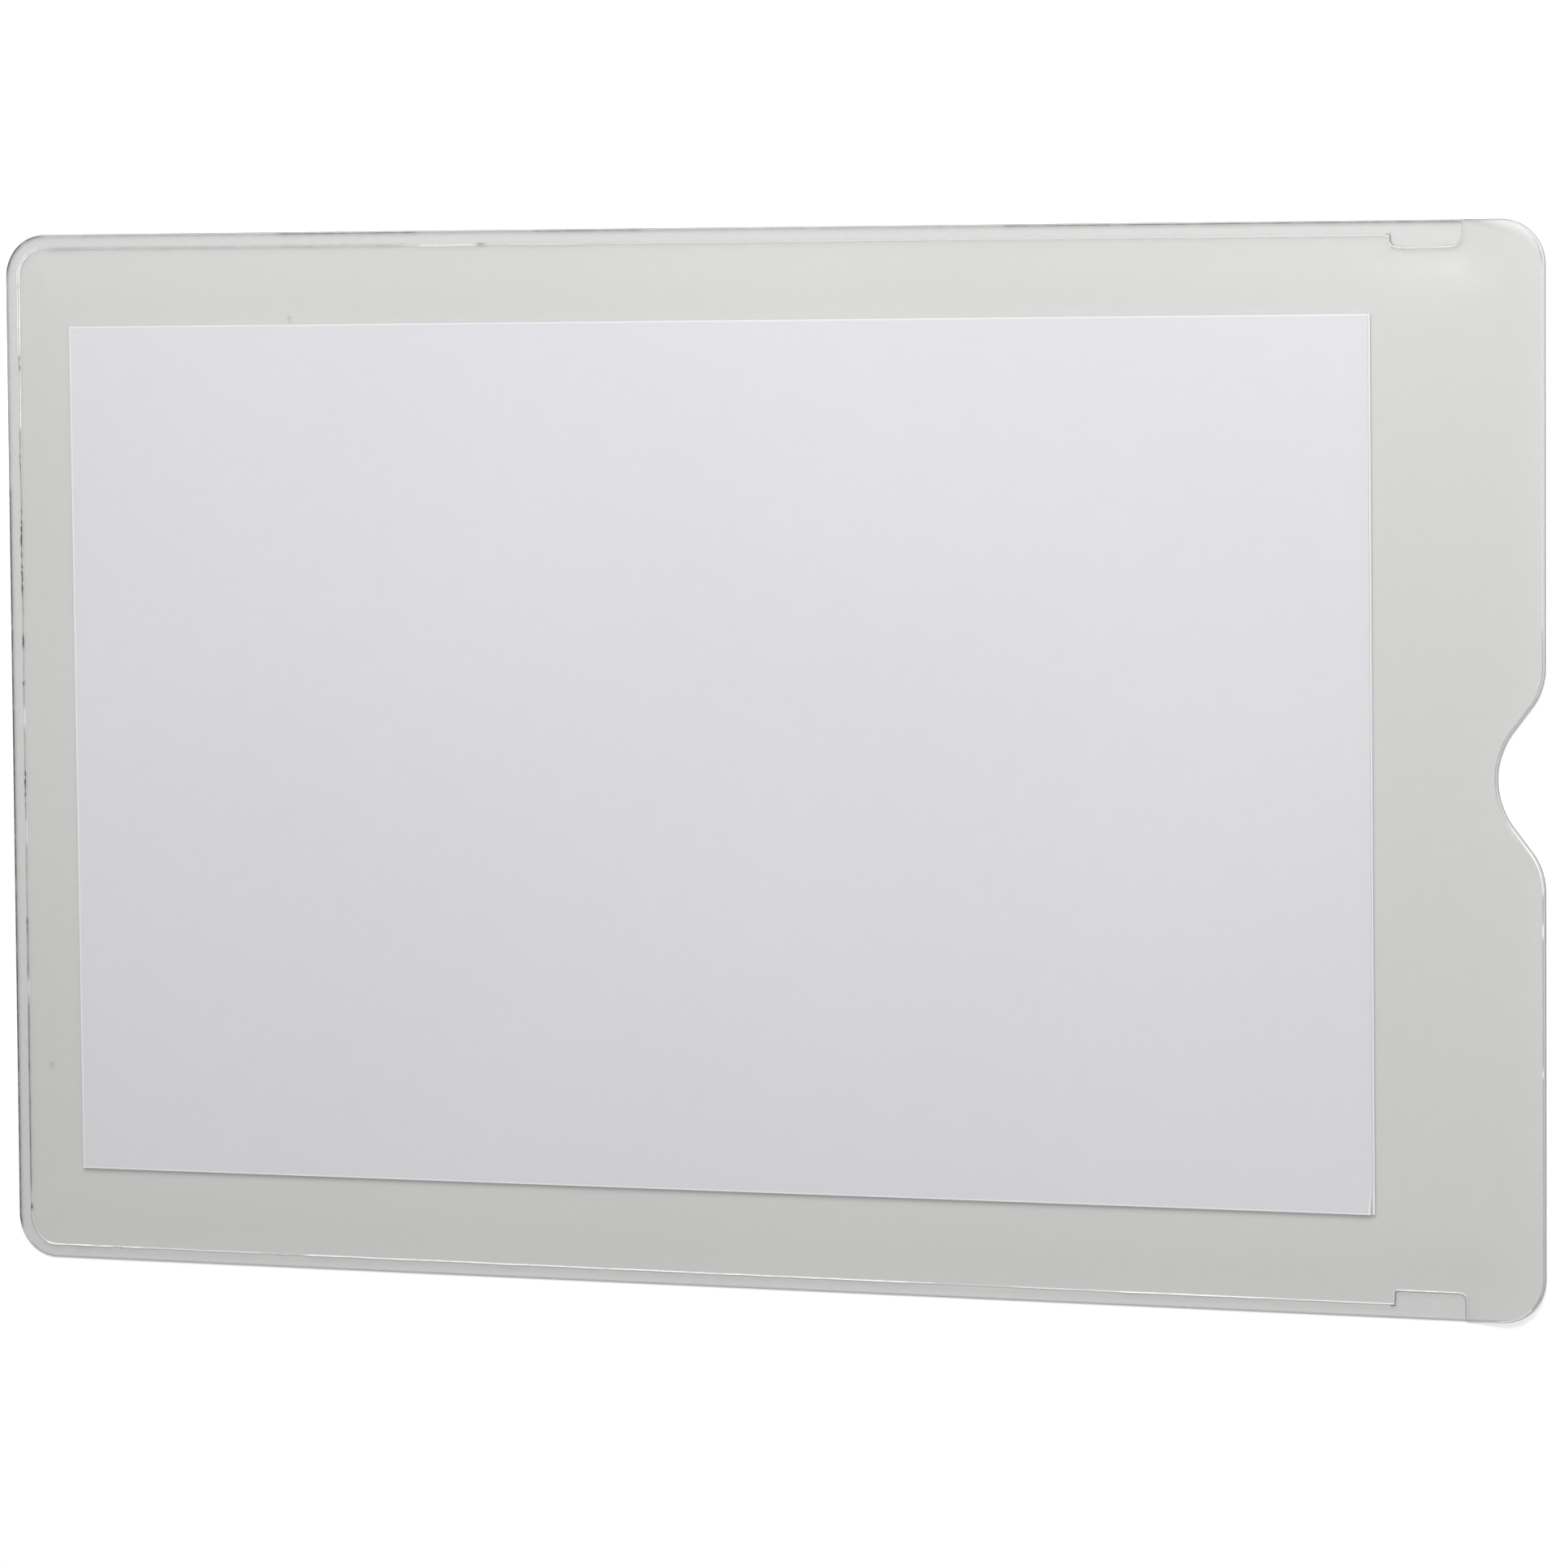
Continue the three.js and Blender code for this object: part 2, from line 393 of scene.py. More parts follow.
@dataclass(frozen=True)
class Weld:
    """The pressed band that joins the two plies on three sides."""

    width: float = 1.98
    end_fade: float = 0.14
    tab_stop_range: tuple[float, float, float] = (-0.63, 1.4, 0.09)
    tabs: tuple[Tab, ...] = (
        Tab(Side.TOP, 97.35, 107.8, 1.45, 0.3, 0.9, 1.4, weld=2.1),
        Tab(Side.BOTTOM, 97.8, 108.2, 2.0, 0.0, 0.4, 1.0, weld=1.66),
    )
    # Each seam: side, width, tear inset, crease shade, crease highlight, shade at the cut edge and that
    # line's width; the shades and highlights are painted.
    seams: tuple[Seam, ...] = (
        Seam(Side.TOP, 2.1, 0.15, 0.14, 0.16, 0.6, 0.16),
        Seam(Side.CLOSED, 2.12, 0.08, 0.7, 0.1, 0.95, 0.25),
        Seam(Side.BOTTOM, 1.66, 0.1, 0.0, 0.45, 0.0, 0.15),
    )
    # Painted shade along the film's cut edge, stretch by stretch, with a painted highlight on some
    # stretches.
    rim_strokes: tuple[Stroke, ...] = (
        *marks(
            Stroke, Side.TOP, (-121.0, -113.5, 0.95), (-113.0, -107.0, 0.45), (-75.0, -52.0, 0.9),
            (-33.0, -16.0, 0.85), (40.0, 107.4, 0.9),
        ),
        *marks(Stroke, Side.CLOSED, (72.5, 80.0, 0.95), (39.0, 71.5, 0.6), (-80.0, -73.0, 0.1)),
        *marks(Stroke, Side.MOUTH, (20.0, 72.0, 0.1, 0.35), (71.0, 80.0, 0.6)),
        *marks(Stroke, Side.TOP, (109.0, 121.0, 0.45)),
        *marks(
            Stroke, Side.MOUTH, (-7.0, 20.0, 0.6, 0.1), (-17.0, -7.5, 0.5, 0.8), (-75.0, -17.5, 0.55),
            (-23.0, -21.0, 0.4, 0.9), (-42.5, -41.5, 0.3, 0.9), (-80.0, -75.5, 0.2, 1.0),
        ),
        *marks(Stroke, Side.BOTTOM, (113.0, 121.0, 0.1, 1.0)),
    )
    # Painted shade and highlight along the weld's crease, stretch by stretch: shade, highlight, then the
    # highlight just outside the crease.
    strokes: tuple[Stroke, ...] = (
        *marks(
            Stroke, Side.TOP, (-121.0, -114.5, 0.0, 0.5, 0.4), (-113.0, -54.0, 0.5),
            (-51.5, -41.8, 0.0, 0.6), (-42.2, -41.0, 0.9), (-37.0, -25.0, 0.2, 0.4),
            (-21.0, 14.0, 0.2, 0.25),
        ),
        *marks(
            Stroke, Side.CLOSED, (59.0, 80.0, 0.35, 0.75, 0.5), (48.0, 58.0, 0.3, 0.6, 0.2),
            (41.0, 47.0, 0.85, 0.3), (3.0, 6.0, 0.0, 0.45), (-14.5, -11.0, 0.1, 0.5),
            (-34.7, -26.0, 0.9, 0.1), (-37.5, -35.3, 0.1, 0.4), (-67.0, -39.0, 1.0),
            (-73.0, -68.0, 0.6, 0.3),
        ),
        *marks(
            Stroke, Side.BOTTOM, (-116.0, -99.5, 0.0, 0.8), (-99.0, -80.5, 0.0, 0.4),
            (-79.0, -72.0, 0.1, 0.05), (-71.7, 24.0, 0.0, 0.75), (28.5, 40.5, 0.0, 0.1),
            (56.7, 78.3, 0.0, 0.8),
        ),
    )
    kinks: tuple[Kink, ...] = (
        *marks(
            Kink, Side.CLOSED, (57.5, 1.2, 0.10), (44.0, 0.9, 0.16), (34.0, 1.6, 0.14),
            (31.5, 1.0, 0.12), (27.5, 1.4, 0.16), (24.4, 0.7, 0.20), (16.0, 0.6, 0.18),
            (10.0, 0.6, 0.16), (-4.8, 1.0, 0.14), (-7.8, 0.8, 0.16), (-27.0, 0.8, 0.10),
            (-69.5, 1.0, 0.12),
        ),
        *marks(
            Kink, Side.BOTTOM, (-106.5, 0.6, 0.10), (-103.0, 0.8, 0.10), (-97.5, 0.8, 0.08),
            (-75.0, 1.4, 0.06),
        ),
        *marks(Kink, Side.TOP, (77.0, 0.5, 0.16)),
    )

    @property
    def end(self) -> float:
        """Where the weld stops, at the far end of its tabs."""
        return min(tab.end for tab in self.tabs)

    def tab_stops(self) -> np.ndarray:
        """Returns closely spaced places round the ends of the tabs."""
        near = np.arange(*self.tab_stop_range)
        return np.concatenate([np.concatenate([tab.start + near, tab.end - near]) for tab in self.tabs])

    def reach(self, edge: Edge) -> np.ndarray:
        """Returns how far the tabs carry the weld in past its plain width, at each station."""
        return sum(np.where(edge.on(tab.side), tab.depth(edge.place(tab.side)), 0) for tab in self.tabs)

    def welded(self, edge: Edge) -> np.ndarray:
        """Returns 1 at stations where the plies are joined and 0 along the open mouth."""
        ends = np.where(edge.points[:, 1] > 0, self.tabs[0].end, self.tabs[1].end)
        return ease((ends - edge.points[:, 0]) / self.end_fade + 0.5)

    def painted(self, edge: Edge, strokes: tuple[Stroke, ...], base: np.ndarray) -> np.ndarray:
        """Lays strokes over rows of painted shade, painted highlight and outer painted highlight tones.

        Args:
            edge: the stations.
            strokes: the stretches that differ from the rest.
            base: the rows that the strokes are laid over, one column a station.

        Returns:
            The base with each stroke laid over it in turn.
        """
        for stroke in strokes:
            share = stroke.share(edge)
            # The stroke's painted shade, painted highlight and outer painted highlight.
            tone = np.array([stroke.dark, stroke.bright, stroke.outer])[:, None]
            base = base * (1 - share) + tone * share
        return base

    def by_side(self, edge: Edge, trait: str) -> np.ndarray:
        """Reads one of the seams' numbers for each station.

        Args:
            edge: the stations.
            trait: the number's name.

        Returns:
            Its values, softened round the corners.
        """
        total, weight = np.zeros(len(edge.points)), np.zeros(len(edge.points))
        for seam in self.seams:
            share = np.clip(edge.facing(seam.side), 0, 1) ** 2
            total = total + share * getattr(seam, trait)
            weight = weight + share
        return total / np.maximum(weight, 1e-6)


@dataclass(frozen=True)
class Drape:
    """How the front ply lies: on the weld, up over the insert, and open at the mouth."""

    outline: Outline
    weld: Weld
    film: float
    stack: float
    ramp: float = 8.0
    gape_start: float = 84.35
    gape_at_top: float = 1.42
    gape_at_bottom: float = 0.77
    gape_ease: float = 9.0
    ripple: float = 0.035
    ripple_length: float = 23.0
    ripple_height: float = 19.0
    ripple_bend: float = 31.0
    ripple_ease: float = 14.0

    def from_weld(self, x: np.ndarray, y: np.ndarray) -> np.ndarray:
        """Measures how far points of the pocket are from the nearest welded film.

        Args:
            x, y: the points.

        Returns:
            One distance for each point, 0 on the weld.
        """
        outline, weld = self.outline, self.weld
        from_end = x + outline.half_length - weld.width
        from_long = outline.half_height - weld.width - np.abs(y)
        bend = outline.corner_radius - weld.width
        in_corner = (from_end < bend) & (from_long < bend)
        round_corner = bend - np.hypot(bend - from_end, bend - from_long)
        end_or_corner = np.where(in_corner, round_corner, from_end)
        past = np.maximum(0, x - weld.end)
        band = np.hypot(past, np.maximum(0, from_long))
        tab = weld.tabs[0]
        beside = np.maximum(np.maximum(past, tab.start - x), 0)
        lug = np.hypot(beside, np.maximum(0, from_long - tab.reach))
        return np.maximum(0, np.minimum(end_or_corner, np.minimum(band, lug)))

    def lift(self, x: np.ndarray, y: np.ndarray) -> np.ndarray:
        """Measures the height of the front ply's underside over the back ply.

        Args:
            x, y: the points.

        Returns:
            One height for each point.
        """
        outline = self.outline
        away = self.from_weld(x, y)
        to_mouth = ease((x - self.gape_start) / (outline.half_length - self.gape_start))
        upward = (y + outline.half_height) / (2 * outline.half_height)
        gape = self.gape_at_bottom + (self.gape_at_top - self.gape_at_bottom) * upward
        swell = np.sin(x / self.ripple_length + 1.3 * np.sin(y / self.ripple_bend))
        swell = swell * np.sin(y / self.ripple_height + 0.8) + 1
        held_flat = (1 - to_mouth) * ease(away / self.ripple_ease)
        return (
            self.stack * ease(away / self.ramp)
            + (gape - self.stack) * to_mouth * ease(away / self.gape_ease)
            + self.ripple * swell * held_flat
        )


def lattice(columns: int, rows: int) -> tuple[np.ndarray, np.ndarray]:
    """Joins up the points of a grid that is numbered row by row.

    Args:
        columns: how many points wide it is.
        rows: how many points high it is.

    Returns:
        Its four-sided faces, and its rim anticlockwise from the first point.
    """
    index = np.arange(columns * rows).reshape(rows, columns)
    quads = np.stack([index[:-1, :-1], index[:-1, 1:], index[1:, 1:], index[1:, :-1]], -1)
    rim = np.concatenate([index[0, :-1], index[:-1, -1], index[-1, :0:-1], index[:0:-1, 0]])
    return quads.reshape(-1, 4), rim


@dataclass
class Skin:
    """One face of a film: rings that follow the edge, then a grid that fills the middle."""

    edge: Edge
    half_length: float
    half_height: float
    step: float
    end_inset: float = 7.5
    mouth_inset: float = 13.5
    long_inset: float = 7.0
    fill: int = 3

    def __post_init__(self) -> None:
        """Lays out the grid and ties each station of the edge to a point on the grid's rim."""
        left, right = self.end_inset - self.half_length, self.half_length - self.mouth_inset
        top = self.half_height - self.long_inset
        self.xs = np.linspace(left, right, math.ceil((right - left) / self.step) + 1)
        self.ys = np.linspace(-top, top, math.ceil(2 * top / self.step) + 1)
        self.grid = np.stack(np.meshgrid(self.xs, self.ys), axis=-1).reshape(-1, 2)
        self.quads, self.rim = lattice(len(self.xs), len(self.ys))
        self.nearest = self.tie()

    def tie(self) -> np.ndarray:
        """Finds the point of the grid's rim that is nearest to each station.

        Returns:
            How many points round the rim each one is, never stepping back.
        """
        held_x = np.clip(self.edge.points[:, 0], self.xs[0], self.xs[-1])
        held_y = np.clip(self.edge.points[:, 1], self.ys[0], self.ys[-1])
        along_x = (held_x - self.xs[0]) / (self.xs[1] - self.xs[0])
        along_y = (held_y - self.ys[0]) / (self.ys[1] - self.ys[0])
        wide, tall = len(self.xs) - 1, len(self.ys) - 1
        steps = np.select(
            [self.edge.on(Side.BOTTOM), self.edge.on(Side.TOP), self.edge.inward[:, 0] < 0],
            [along_x, 2 * wide + tall - along_x, wide + along_y],
            2 * wide + 2 * tall - along_y,
        )
        first_corner = (self.edge.inward[:, 0] > 0) & (self.edge.points[:, 1] < self.ys[0])
        steps = np.where(first_corner, 0, steps)
        return np.maximum.accumulate(np.round(steps).astype(int))

    def rings(self, depths: list[np.ndarray]) -> list[np.ndarray]:
        """Lays out the rings at each depth, then others that close in on the grid's rim.

        Args:
            depths: distance in from the edge, for every station, one array a ring.

        Returns:
            The rings' points, one array a ring.
        """
        made = [self.edge.moved_in(depth) for depth in depths]
        goal = self.grid[self.rim[self.nearest % len(self.rim)]]
        shares = np.arange(1, self.fill + 1) / (self.fill + 1)
        return made + [made[-1] * (1 - share) + goal * share for share in shares]

    def faces(self, count: int, first: int) -> list[list[int]]:
        """Joins the rings to one another and to the grid.

        Args:
            count: how many rings there are.
            first: the index of the first ring's first point.

        Returns:
            The skin's polygons, anticlockwise as seen from above.
        """
        size = len(self.edge.points)
        here, following = np.arange(size), (np.arange(size) + 1) % size
        polygons = []
        for ring in range(count - 1):
            low, high = first + ring * size, first + (ring + 1) * size
            polygons += np.stack([low + here, low + following, high + following, high + here], 1).tolist()
        last, middle = first + (count - 1) * size, first + count * size
        total = len(self.rim)
        for a, b in zip(here.tolist(), following.tolist()):
            start = int(self.nearest[a])
            end = int(self.nearest[b]) if b else total
            seam = [middle + int(self.rim[k % total]) for k in range(end, start - 1, -1)]
            polygons.append([last + a, last + b, *seam])
        polygons += (middle + self.quads).tolist()
        return polygons


def solid(name: str, points: np.ndarray, faces: list, finishes: list) -> bpy.types.Object:
    """Makes a smooth-shaded mesh object whose sharp edges stay sharp.

    Args:
        name: the piece's name.
        points: its corners, in millimetres.
        faces: its polygons.
        finishes: its materials, in slot order.

    Returns:
        The object, linked to the scene.
    """
    mesh = bpy.data.meshes.new(name)
    mesh.from_pydata((points * MM).tolist(), [], faces)
    mesh.validate()
    mesh.shade_smooth()
    mesh.set_sharp_from_angle(angle=math.radians(SHARP_DEG))
    for finish in finishes:
        mesh.materials.append(finish)
    piece = bpy.data.objects.new(name, mesh)
    bpy.context.scene.collection.objects.link(piece)
    return piece


def carry(piece: bpy.types.Object, masks: dict[str, np.ndarray]) -> None:
    """Gives a piece the masks that its materials read.

    Args:
        piece: the object.
        masks: one value a point, under each mask's name.
    """
    for name, values in masks.items():
        layer = piece.data.attributes.new(name, "FLOAT", "POINT")
        layer.data.foreach_set("value", values.astype(np.float32))


@dataclass
class FilmMesh:
    """A closed film: an upper and a lower skin, and a cut edge between them."""

    skin: Skin
    points: list[np.ndarray] = field(default_factory=list)
    masks: dict[str, list[np.ndarray]] = field(default_factory=dict)
    faces: list[list[int]] = field(default_factory=list)
    first_points: list[int] = field(default_factory=list)
    first_faces: list[int] = field(default_factory=list)

    def add_skin(
        self,
        rings: list[np.ndarray],
        height: Callable[[np.ndarray, int], np.ndarray],
        masks: Callable[[np.ndarray, int], Masks],
        upward: bool,
    ) -> None:
        """Adds a skin, the upper one before the lower one.

        Args:
            rings: the rings' places, from the edge inward.
            height: gives the heights of a ring's points, ring -1 being the grid.
            masks: gives the masks of a ring's points, ring -1 being the grid.
            upward: True for the upper skin, False for the lower one.
        """
        first = sum(len(part) for part in self.points)
        self.first_points.append(first)
        self.first_faces.append(len(self.faces))
        for number, places in [*enumerate(rings), (-1, self.skin.grid)]:
            self.points.append(np.column_stack([places, height(places, number)]))
            for name, values in masks(places, number).items():
                self.masks.setdefault(name, []).append(np.broadcast_to(values, len(places)))
        polygons = self.skin.faces(len(rings), first)
        self.faces += polygons if upward else [polygon[::-1] for polygon in polygons]

    def build(self, name: str, finish: "FilmFinish", cut: "CutEdgeFinish") -> bpy.types.Object:
        """Joins the two skins' outer rings and makes the film's object.

        Args:
            name: the piece's name.
            finish: the finish of its faces.
            cut: the finish of its cut edge.

        Returns:
            The closed film, with its masks and its materials.
        """
        upper, lower = self.first_points
        here = np.arange(len(self.skin.edge.points))
        following = np.roll(here, -1)
        wall = np.stack([lower + here, lower + following, upper + following, upper + here], 1).tolist()
        finishes = [finish.material(), cut.material(), finish.underside()]
        piece = solid(name, np.vstack(self.points), self.faces + wall, finishes)
        slots = np.zeros(len(self.faces) + len(wall), dtype=np.int32)
        slots[self.first_faces[1]:] = 2
        slots[len(self.faces):] = 1
        piece.data.polygons.foreach_set("material_index", slots)
        carry(piece, {mask: np.concatenate(parts) for mask, parts in self.masks.items()})
        return piece


class Wire:
    """A node's output. Sums, products and quotients of wires add Math nodes."""

    def __init__(self, bench: "Bench", socket: bpy.types.NodeSocket) -> None:
        """Keeps the socket and the bench that it stands on."""
        self.bench = bench
        self.socket = socket

    def maths(self, operation: str, first: "Wire | float", second: "Wire | float") -> "Wire":
        """Returns the result of a Math node on two values."""
        return self.bench.node("ShaderNodeMath", {"operation": operation}, {0: first, 1: second})

    def __add__(self, other: "Wire | float") -> "Wire":
        """Returns this plus another."""
        return self.maths("ADD", self, other)

    def __radd__(self, other: float) -> "Wire":
        """Returns a number plus this."""
        return self.maths("ADD", other, self)

    def __sub__(self, other: "Wire | float") -> "Wire":
        """Returns this less another."""
        return self.maths("SUBTRACT", self, other)

    def __rsub__(self, other: float) -> "Wire":
        """Returns a number less this."""
        return self.maths("SUBTRACT", other, self)

    def __mul__(self, other: "Wire | float") -> "Wire":
        """Returns this times another."""
        return self.maths("MULTIPLY", self, other)

    def __rmul__(self, other: float) -> "Wire":
        """Returns a number times this."""
        return self.maths("MULTIPLY", other, self)

    def __truediv__(self, other: "Wire | float") -> "Wire":
        """Returns this over another."""
        return self.maths("DIVIDE", self, other)

    def __rtruediv__(self, other: float) -> "Wire":
        """Returns a number over this."""
        return self.maths("DIVIDE", other, self)

    def held(self) -> "Wire":
        """Returns this, held between 0 and 1."""
        return self.bench.node("ShaderNodeClamp", {}, {"Value": self})


class Bench:
    """A material's node tree, with one method that adds nodes."""

    def __init__(self, name: str) -> None:
        """Starts a new material with only its output node.

        Args:
            name: the material's name.
        """
        self.material = bpy.data.materials.new(name)
        self.material.use_nodes = True
        self.tree = self.material.node_tree
        self.tree.nodes.clear()
        self.output = self.tree.nodes.new("ShaderNodeOutputMaterial")

    def node(
        self,
        kind: str,
        settings: dict | None = None,
        inputs: dict | None = None,
        output: int | str = 0,
    ) -> Wire:
        """Adds a node.

        Args:
            kind: the node's type.
            settings: its own options, set first.
            inputs: values or wires for its sockets, by name or number.
            output: which output to return.

        Returns:
            That output.
        """
        made = self.tree.nodes.new(kind)
        for key, value in (settings or {}).items():
            setattr(made, key, value)
        for key, value in (inputs or {}).items():
            if isinstance(value, Wire):
                self.tree.links.new(value.socket, made.inputs[key])
            else:
                made.inputs[key].default_value = value
        return Wire(self, made.outputs[output])

    def mask(self, name: str) -> Wire:
        """Returns a mask that the mesh carries."""
        return self.node("ShaderNodeAttribute", {"attribute_name": name}, output="Fac")

    def place(self) -> Wire:
        """Returns the surface point in the object's own frame."""
        return self.node("ShaderNodeTexCoord", output="Object")

    def noise(self, scale: float, detail: float) -> Wire:
        """Returns cloudy noise from 0 to 1 with about this many blotches a metre."""
        inputs = {"Vector": self.place(), "Scale": scale, "Detail": detail}
        return self.node("ShaderNodeTexNoise", {}, inputs, "Fac")

    def mix(self, share: Wire | float, first: Wire | tuple, second: Wire | tuple) -> Wire:
        """Returns a colour between two others."""
        return self.node("ShaderNodeMix", {"data_type": "RGBA"}, {0: share, 6: first, 7: second}, 2)

    def spot(self, x: float, y: float, radius: float) -> Wire:
        """Marks a round spot on the sheet.

        Args:
            x, y: its middle, in millimetres.
            radius: its radius, in millimetres.

        Returns:
            1 in the middle, fading to 0 at the radius.
        """
        kind, middle = "ShaderNodeVectorMath", (x * MM, y * MM, 0)
        flat = self.node(kind, {"operation": "MULTIPLY"}, {0: self.place(), 1: (1, 1, 0)})
        reach = self.node(kind, {"operation": "DISTANCE"}, {0: flat, 1: middle}, "Value")
        return (1.0 - reach / (radius * MM)).held()

    def bump(self, height: Wire, depth: float) -> Wire:
        """Returns a normal bent by a height from 0 to 1 that stands for a depth in millimetres."""
        return self.node("ShaderNodeBump", {}, {"Height": height, "Distance": depth * MM, "Strength": 1.0})

    def finish(self, **sockets: Wire | float | tuple) -> bpy.types.Material:
        """Ends the tree in a Principled shader.

        Args:
            sockets: its values and wires, with _ for the spaces in a socket's name.

        Returns:
            The finished material.
        """
        inputs = {name.replace("_", " "): value for name, value in sockets.items()}
        shader = self.node("ShaderNodeBsdfPrincipled", {}, inputs)
        self.tree.links.new(shader.socket, self.output.inputs["Surface"])
        return self.material


def grey(level: float, warmth: float = 0.0) -> tuple[float, float, float, float]:
    """Returns a grey, a little yellow where warmth is above 0 and blue where it is below."""
    return (level, level * (1 - 0.1 * warmth), level * (1 - warmth), 1.0)


@dataclass(frozen=True)
class Speck:
    """A grain of dust or a faint blemish on the film."""

    x: float
    y: float
    radius: float
    strength: float


@dataclass(frozen=True)
class FilmFinish:
    """Clear pliable vinyl: see-through, faintly grey, glossy, frosted where it is pressed, and carrying
    painted shade and highlight lines from its masks.
    """

    name: str
    level: float = 0.515
    weld_level: float = 0.575
    # The colour of the painted shade lines.
    line_level: float = 0.02
    cloud_scale: float = 22.0
    cloud_depth: float = 0.04
    opacity: float = 0.3
    under_opacity: float = 0.12
    weld_opacity: float = 0.32
    # How solid the painted shade and highlight lines are.
    line_opacity: float = 0.97
    roughness: float = 0.2
    under_roughness: float = 0.3
    weld_roughness: float = 0.32
    specks: tuple[Speck, ...] = ()

    def underside(self) -> bpy.types.Material:
        """Makes the plain finish of the film's lower face.

        Returns:
            The finish as a material.
        """
        return Bench(self.name + "_underside").finish(
            Base_Color=grey(self.level, 0.02),
            Alpha=self.under_opacity,
            Roughness=self.under_roughness,
            IOR=FILM_INDEX,
        )

    def material(self) -> bpy.types.Material:
        """Makes the finish of the film's upper face.

        Returns:
            A material that reads three masks: the pressed band, painted shade lines and painted highlight
                lines; the dust specks darken like the shade lines.
        """
        bench = Bench(self.name)
        weld, dark, bright = (bench.mask(mask) for mask in ("weld", "dark", "bright"))
        cloud = bench.noise(self.cloud_scale, 0.0)
        for speck in self.specks:
            dark = dark + bench.spot(speck.x, speck.y, speck.radius) * speck.strength
        dark, bright = dark.held(), bright.held()
        low, high = (self.level * (1 + way * self.cloud_depth) for way in (-1, 1))
        tint = bench.mix(cloud, grey(low, 0.03), grey(high, 0.02))
        tint = bench.mix(weld, tint, grey(self.weld_level, 0.01))
        # Painted shade: near-black lines where the cut edges and the crease fall dark, together with the
        # dust specks.
        tint = bench.mix(dark, tint, grey(self.line_level))
        # Painted highlight: white lines where the edges and the crease catch light.
        tint = bench.mix(bright, tint, grey(1.0))
        body = self.opacity + (self.weld_opacity - self.opacity) * weld
        line = (dark + bright).held()
        rough = self.roughness + (self.weld_roughness - self.roughness) * weld
        return bench.finish(
            Base_Color=tint,
            Alpha=body + (self.line_opacity - body) * line,
            Roughness=rough + 0.06 * (cloud - 0.5),
            IOR=FILM_INDEX,
        )


@dataclass(frozen=True)
class CutEdgeFinish:
    """The die-cut edge of the film, where it gathers light and looks solid."""

    name: str
    level: float = 0.5
    opacity: float = 0.88
    knife_scale: float = 700.0

    def material(self) -> bpy.types.Material:
        """Makes the finish.

        Returns:
            A material with fine knife marks.
        """
        bench = Bench(self.name)
        drag = bench.noise(self.knife_scale, 3.0)
        return bench.finish(
            Base_Color=bench.mix(drag, grey(self.level * 0.9), grey(self.level * 1.05)),
            Alpha=self.opacity + 0.2 * (drag - 0.5),
            Roughness=0.3 + 0.2 * drag,
            IOR=FILM_INDEX,
        )


@dataclass(frozen=True)
class PaperFinish:
    """Plain white uncoated stock with a fine tooth."""

    name: str
    level: float = 0.706
    shade_level: float = 0.3
    formation_scale: float = 160.0
    fibre_scale: float = 2400.0
    fibre_depth: float = 0.02

    def material(self) -> bpy.types.Material:
        """Makes the finish, with cloudy formation and fibres in relief.

        Returns:
            A material that reads the masks rim, a painted highlight along the cut edges, and shade, painted
            shade in the gap of the curled corner.
        """
        bench = Bench(self.name)
        formation, fibre = bench.noise(self.formation_scale, 2.0), bench.noise(self.fibre_scale, 1.0)
        cloud = (formation * 0.7 + fibre * 0.3).held()
        low, high = (self.level * share for share in (0.98, 1.02))
        tint = bench.mix(cloud, (low, low * 0.99, low * 1.06, 1), (high, high * 0.99, high * 1.065, 1))
        # Painted highlight along the cut edges.
        tint = bench.mix(bench.mask("rim"), tint, grey(1.0))
        return bench.finish(
            # Painted shade in the gap of the curled corner.
            Base_Color=bench.mix(bench.mask("shade"), tint, grey(self.shade_level)),
            Roughness=0.82 + 0.12 * formation,
            Normal=bench.bump(fibre, self.fibre_depth),
        )


def unmarked(places: np.ndarray, number: int) -> Masks:
    """Returns film masks that mark nothing on a ring."""
    return {"weld": 0.0, "dark": 0.0, "bright": 0.0}


